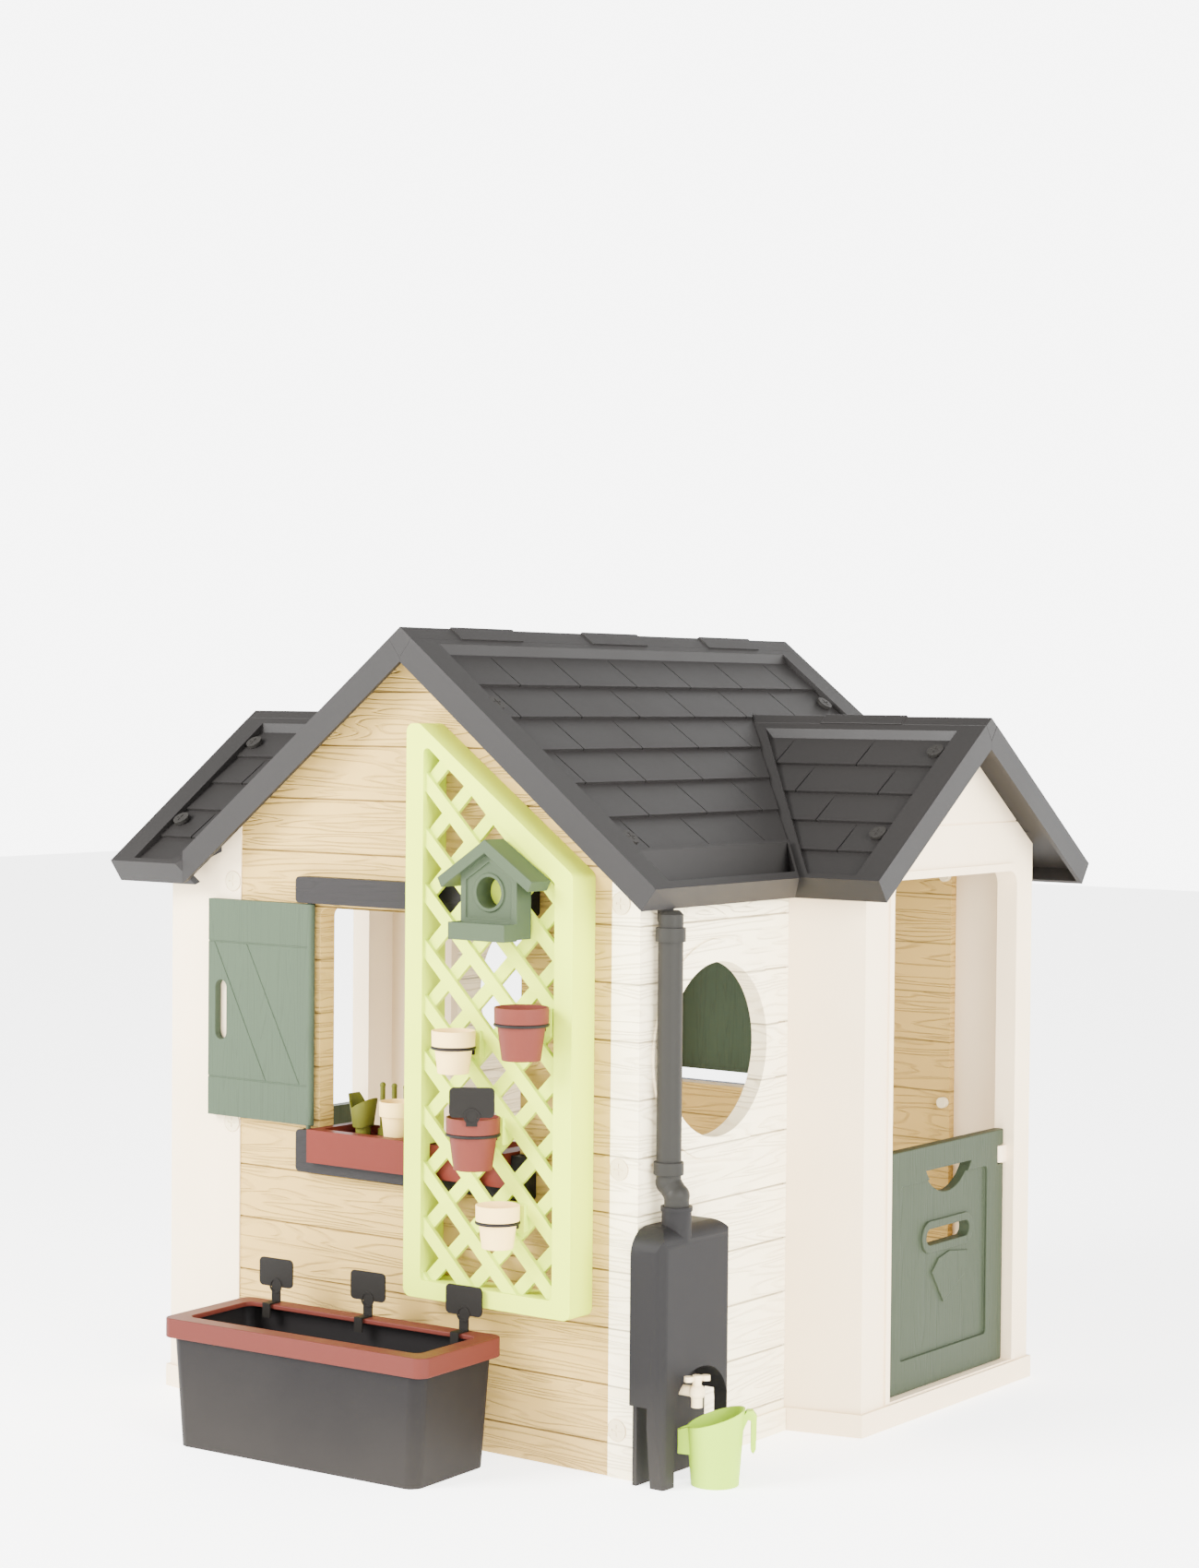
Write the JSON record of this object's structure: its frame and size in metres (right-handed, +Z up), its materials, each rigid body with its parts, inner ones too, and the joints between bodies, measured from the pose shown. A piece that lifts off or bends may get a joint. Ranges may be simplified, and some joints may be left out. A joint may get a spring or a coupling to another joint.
{
  "type": "playhouse",
  "caption": "Children's garden playhouse with planked walls, shingled gable roof and side dormers, shutters, half doors, trellis with pots, rain tank, watering can and planter.",
  "frame": {"origin": "ground level, at the centre of the whole outline seen from above", "axes": "+X to the right of the front gable, +Y towards the back, +Z up"},
  "size_m": [1.32, 1.4178, 1.3526],
  "materials": {
    "beige_wall": "satin, lightly textured moulded plastic",
    "cream_wall": "satin, lightly textured moulded plastic",
    "roof_grey": "satin, lightly textured moulded plastic",
    "roof_screw_grey": "satin, lightly textured moulded plastic",
    "trim_grey": "satin, lightly textured moulded plastic",
    "shutter_sage": "satin, lightly textured moulded plastic",
    "door_sage": "satin, lightly textured moulded plastic",
    "lime": "satin, lightly textured moulded plastic",
    "clay_red": "satin, lightly textured moulded plastic",
    "pot_cream": "satin, lightly textured moulded plastic",
    "label_grey": "satin, lightly textured moulded plastic",
    "tub_grey": "satin, lightly textured moulded plastic",
    "pipe_grey": "satin, lightly textured moulded plastic",
    "tank_grey": "satin, lightly textured moulded plastic",
    "small_cream": "satin, lightly textured moulded plastic",
    "leaf_green": "satin, lightly textured moulded plastic"
  },
  "bodies": {
    "house": {"front_wall": "beige_wall", "back_wall": "beige_wall", "right_window_wall": "cream_wall", "left_window_wall": "cream_wall", "right_porch_wall": "cream_wall", "left_porch_wall": "cream_wall", "right_main_roof": "roof_grey", "left_main_roof": "roof_grey", "main_ridge_cap": "roof_grey", "right_dormer_near_slope": "roof_grey", "right_dormer_far_slope": "roof_grey", "right_dormer_cap": "roof_grey", "left_dormer_near_slope": "roof_grey", "left_dormer_far_slope": "roof_grey", "left_dormer_cap": "roof_grey", "front_lintel": "trim_grey", "back_lintel": "trim_grey", "front_sill": "trim_grey", "back_sill": "trim_grey", "window_tray": "clay_red", "trellis": "lime", "birdhouse": "shutter_sage", "red_ring_upper": "trim_grey", "red_ring_lower": "trim_grey", "cream_ring_upper": "trim_grey", "cream_ring_lower": "trim_grey", "downpipe": "pipe_grey", "upper_elbow": "pipe_grey", "lower_elbow": "pipe_grey", "rain_tank": "tank_grey", "tap_body": "small_cream", "corner_screws": "small_cream", "corner_nuts": "small_cream", "roof_screws": "roof_screw_grey"},
    "planter": {"planter_tub": "tub_grey", "planter_rim": "clay_red"},
    "red_pot_lower": {"red_pot_lower": "clay_red", "pot_label": "label_grey"},
    "front_shutter": {"front_shutter": "shutter_sage"},
    "back_shutter_left": {"back_shutter_left": "shutter_sage"},
    "back_shutter_right": {"back_shutter_right": "shutter_sage"},
    "right_half_door": {"right_half_door": "door_sage"},
    "left_half_door": {"left_half_door": "door_sage"},
    "red_pot_upper": {"red_pot_upper": "clay_red"},
    "cream_pot_upper": {"cream_pot_upper": "pot_cream"},
    "cream_pot_lower": {"cream_pot_lower": "pot_cream"},
    "planter_label_left": {"planter_label_left": "label_grey"},
    "planter_label_middle": {"planter_label_middle": "label_grey"},
    "planter_label_right": {"planter_label_right": "label_grey"},
    "tap_handle": {"tap_handle": "small_cream"},
    "watering_can": {"watering_can": "lime"},
    "trowel": {"trowel": "leaf_green"},
    "hand_rake": {"hand_rake": "leaf_green"},
    "window_pot": {"window_pot": "pot_cream"}
  },
  "joints": [
    {"name": "front_shutter_hinge", "type": "hinge", "parent": "house", "child": "front_shutter", "pos_m": [-0.231, -0.42559, 0.692], "axis": [0, 0, 1], "range_deg": [0, 180]},
    {"name": "back_shutter_left_hinge", "type": "hinge", "parent": "house", "child": "back_shutter_left", "pos_m": [-0.231, 0.65941, 0.692], "axis": [0, 0, 1], "range_deg": [0, 180]},
    {"name": "back_shutter_right_hinge", "type": "hinge", "parent": "house", "child": "back_shutter_right", "pos_m": [0.231, 0.65941, 0.692], "axis": [0, 0, -1], "range_deg": [0, 180]},
    {"name": "right_door_hinge", "type": "hinge", "parent": "house", "child": "right_half_door", "pos_m": [0.564, 0.54891, 0.257], "axis": [0, 0, 1], "range_deg": [0, 90]},
    {"name": "left_door_hinge", "type": "hinge", "parent": "house", "child": "left_half_door", "pos_m": [-0.564, -0.31509, 0.257], "axis": [0, 0, 1], "range_deg": [0, 90]},
    {"name": "tap_turn", "type": "hinge", "parent": "house", "child": "tap_handle", "pos_m": [0.5423, -0.37409, 0.169], "axis": [0, 0, 1], "range_deg": [0, 90]},
    {"name": "planter_pull", "type": "slide", "parent": "house", "child": "planter", "axis": [0, -1, 0], "range_m": [0, 0.3]},
    {"name": "planter_label_left_lift", "type": "slide", "parent": "planter", "child": "planter_label_left", "axis": [0, 0, 1], "range_m": [0, 0.1]},
    {"name": "planter_label_middle_lift", "type": "slide", "parent": "planter", "child": "planter_label_middle", "axis": [0, 0, 1], "range_m": [0, 0.1]},
    {"name": "planter_label_right_lift", "type": "slide", "parent": "planter", "child": "planter_label_right", "axis": [0, 0, 1], "range_m": [0, 0.1]},
    {"name": "red_pot_upper_lift", "type": "slide", "parent": "house", "child": "red_pot_upper", "axis": [0, 0, 1], "range_m": [0, 0.09]},
    {"name": "red_pot_lower_lift", "type": "slide", "parent": "house", "child": "red_pot_lower", "axis": [0, 0, 1], "range_m": [0, 0.06]},
    {"name": "cream_pot_upper_lift", "type": "slide", "parent": "house", "child": "cream_pot_upper", "axis": [0, 0, 1], "range_m": [0, 0.1]},
    {"name": "cream_pot_lower_lift", "type": "slide", "parent": "house", "child": "cream_pot_lower", "axis": [0, 0, 1], "range_m": [0, 0.045]},
    {"name": "watering_can_pull", "type": "slide", "parent": "house", "child": "watering_can", "axis": [1, 0, 0], "range_m": [0, 0.25]},
    {"name": "trowel_lift", "type": "slide", "parent": "house", "child": "trowel", "axis": [0, 0, 1], "range_m": [0, 0.1]},
    {"name": "hand_rake_lift", "type": "slide", "parent": "house", "child": "hand_rake", "axis": [0, 0, 1], "range_m": [0, 0.1]},
    {"name": "window_pot_lift", "type": "slide", "parent": "house", "child": "window_pot", "axis": [0, 0, 1], "range_m": [0, 0.1]}
  ]
}
